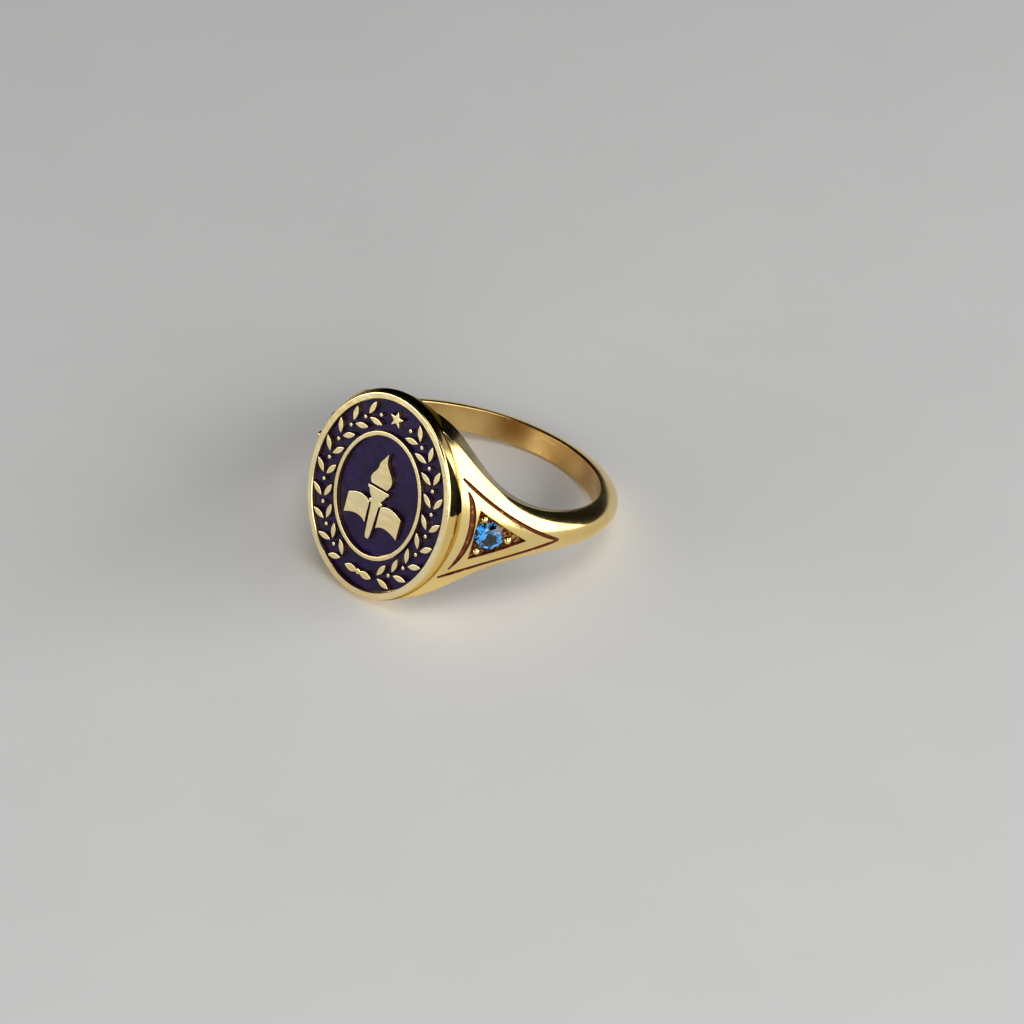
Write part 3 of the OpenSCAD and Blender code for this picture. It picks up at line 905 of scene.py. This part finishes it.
painted_highlight_gold = new_finish("painted_highlight_gold", 1, painted_highlight_nodes)
metal.data.materials.append(painted_highlight_gold)
finished(metal, painted_highlight_gold, [face.normal.y < -0.6 and face.center.y < relief_edge - face_r
                              for face in metal.data.polygons])
only(metal)
bpy.ops.object.shade_smooth_by_angle(angle=math.radians(28))
bpy.ops.object.modifier_add(type="WEIGHTED_NORMAL")
metal.modifiers[-1].keep_sharp = True
metal.modifiers[-1].weight = 90
bpy.ops.object.modifier_apply(modifier=metal.modifiers[-1].name)
metal.data.transform(at_rest)
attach(metal, "root")
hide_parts("ring_body")

# Enamel
# Dark purple vitreous enamel is melted into the pocket round the raised metal and ground back
# below the rim. Its surface is a little uneven, and cloudy where the grains ran together.
enamel_deep = (0.009, 0.0032, 0.027)
enamel_clear = (0.024, 0.0085, 0.066)


def enamel_nodes(tree):
    place = add(tree, "TexCoord").outputs["Object"]
    clouds = noise(tree, place, 0.5, 4, 0.62)
    ripple = noise(tree, place, 0.35, 2)
    bump = add(tree, "Bump", {"Height": ripple, "Strength": 0.8, "Distance": 0.03 * MM})
    depth = spread(tree, clouds, 0.32, 0.72)
    return {"Base_Color": blend(tree, depth, enamel_deep, enamel_clear),
            "Roughness": spread(tree, clouds, 0.3, 0.7, 0.4, 0.24), "Normal": bump.outputs[0]}


purple_enamel = new_finish("purple_enamel", 0, enamel_nodes, Specular_IOR_Level=0.15)
for name in ("enamel_band", "enamel_centre"):
    for slot in bpy.data.objects[name].material_slots:
        slot.material = purple_enamel

# Stones
# Round brilliants of clear blue stone. Each is turned to a disc, and its facets are then
# ground one by one: mains, stars and halves round the table, mains and halves below.
table_r = 0.58
crown_main = math.atan2(crown_h, stone_r - table_r)
crown_half = math.radians(39.8)
crown_star = math.radians(21)
pavilion_main = math.atan2(pavilion_h, stone_r)
pavilion_half = math.radians(39.8)
half_turn = 11.25


def grind(slope, radius, level, first, count):
    """A ring of flat facets at one slope, each through a point at this radius and level."""
    for i in range(count):
        turn = math.radians(first + 360 / count * i)
        out = Vector((math.cos(turn), math.sin(turn), 0))
        bpy.ops.mesh.select_all(action="SELECT")
        bpy.ops.mesh.bisect(plane_co=out * radius + Vector((0, 0, level)),
                            plane_no=out * math.sin(abs(slope)) + Vector((0, 0, math.copysign(
                                math.cos(slope), slope))),
                            use_fill=True, clear_outer=True)


deselect()
bpy.ops.mesh.primitive_cylinder_add(
    vertices=96, radius=stone_r, depth=crown_h + girdle_h + pavilion_h,
    location=(0, 0, (crown_h - girdle_h - pavilion_h) / 2))
bpy.ops.object.transform_apply(location=True)
stone = bpy.context.active_object
bpy.ops.object.mode_set(mode="EDIT")
grind(crown_main, stone_r, 0, 0, 8)
grind(crown_star, table_r * math.cos(math.radians(22.5)), crown_h, 22.5, 8)
grind(crown_half, stone_r, 0, half_turn, 16)
grind(-pavilion_main, stone_r, -girdle_h, 0, 8)
grind(-pavilion_half, stone_r, -girdle_h, half_turn, 16)
bpy.ops.object.mode_set(mode="OBJECT")
stone.data.transform(to_shoulder @ Matrix.Translation((0, 0, girdle_r)))

stone_light = (0.04, 0.23, 0.46)
stone_deep = (0.009, 0.09, 0.25)


def stone_nodes(tree):
    place = add(tree, "TexCoord").outputs["Object"]
    return {"Base_Color": blend(tree, spread(tree, noise(tree, place, 0.9, 1), 0.35, 0.65),
                                stone_light, stone_deep)}


blue_stone = new_finish("blue_stone", 0, stone_nodes, Transmission_Weight=1, IOR=1.76,
                        Roughness=0)
stone.data.materials.append(blue_stone)
for side, twin in (("right", stone), ("left", mirrored(stone, (1, 0, 0)))):
    twin.name = twin.data.name = "cut_stone_" + side
    twin.data.transform(at_rest)
    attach(twin, "root")
    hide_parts("stone_" + side)

# Studio
# The ring lies on a pale matt floor. Two long soft lights stand at its right, a small one hangs
# above it and a low one stands in front.
floor_pale = (0.88, 0.88, 0.87)
floor_grey = (0.82, 0.82, 0.81)


def floor_nodes(tree):
    place = add(tree, "TexCoord").outputs["Object"]
    grain = noise(tree, place, 6, 4)
    bump = add(tree, "Bump", {"Height": grain, "Strength": 0.1, "Distance": 0.1 * MM})
    return {"Base_Color": blend(tree, grain, floor_pale, floor_grey), "Normal": bump.outputs[0]}


deselect()
bpy.ops.mesh.primitive_plane_add(size=2)
floor = bpy.context.active_object
floor.name = "floor"
floor.data.materials.append(new_finish("pale_floor", 0, floor_nodes, Roughness=0.9))


def soft_light(name, azimuth, elevation, distance, width, height, brightness):
    """Area light that looks at the ring from this direction."""
    azimuth, elevation = math.radians(azimuth), math.radians(elevation)
    way = Vector((math.sin(azimuth) * math.cos(elevation),
                  -math.cos(azimuth) * math.cos(elevation), math.sin(elevation)))
    data = bpy.data.lights.new(name, "AREA")
    data.shape = "RECTANGLE"
    data.size, data.size_y = width, height
    data.energy = brightness * math.pi * width * height
    lamp = bpy.data.objects.new(name, data)
    lamp.location = way * distance
    lamp.rotation_euler = way.to_track_quat("Z", "Y").to_euler()
    scene.collection.objects.link(lamp)


soft_light("right_front", 62, 20, 0.5, 0.55, 0.34, 3.0)
soft_light("right_back", 122, 20, 0.5, 0.52, 0.34, 3.0)
soft_light("above", 60, 70, 0.6, 0.3, 0.3, 2.2)
soft_light("front_left", -30, 12, 0.35, 0.3, 0.16, 3.1)
world = bpy.data.worlds.new("studio")
world.use_nodes = True
world.node_tree.nodes["Background"].inputs["Color"].default_value = (1, 1, 1, 1)
world.node_tree.nodes["Background"].inputs["Strength"].default_value = 0.01
scene.world = world
scene.view_settings.view_transform = "Standard"
scene.view_settings.look = "None"
scene.view_settings.exposure = 0

# The camera looks down on the ring from its right, as the photograph does
camera_axes = Matrix(((-0.60988, 0.75462, 0.24204), (-0.17491, -0.42606, 0.88763),
                      (0.77295, 0.49901, 0.39184)))
head_axes = Matrix(((0, -math.cos(rest_tilt), math.sin(rest_tilt)), (1, 0, 0),
                    (0, math.sin(rest_tilt), math.cos(rest_tilt))))
right, up, back = camera_axes @ head_axes
focal = 4305
pixels_per_mm = 14.587
hole_pixel = (474.46, 469.83)
frame_px = 1024
distance = focal / pixels_per_mm
shift = (right * (frame_px / 2 - hole_pixel[0])
         + up * (hole_pixel[1] - frame_px / 2)) / pixels_per_mm
lens = bpy.data.cameras.new("camera")
lens.sensor_width = 36
lens.lens = focal / frame_px * 36
lens.clip_start = 0.01
camera = bpy.data.objects.new("camera", lens)
camera.matrix_world = (
    Matrix.Translation(Vector(hole["pos_m"]) + (shift + back * distance) * MM)
    @ Matrix((right, up, back)).transposed().to_4x4())
scene.collection.objects.link(camera)
scene.camera = camera
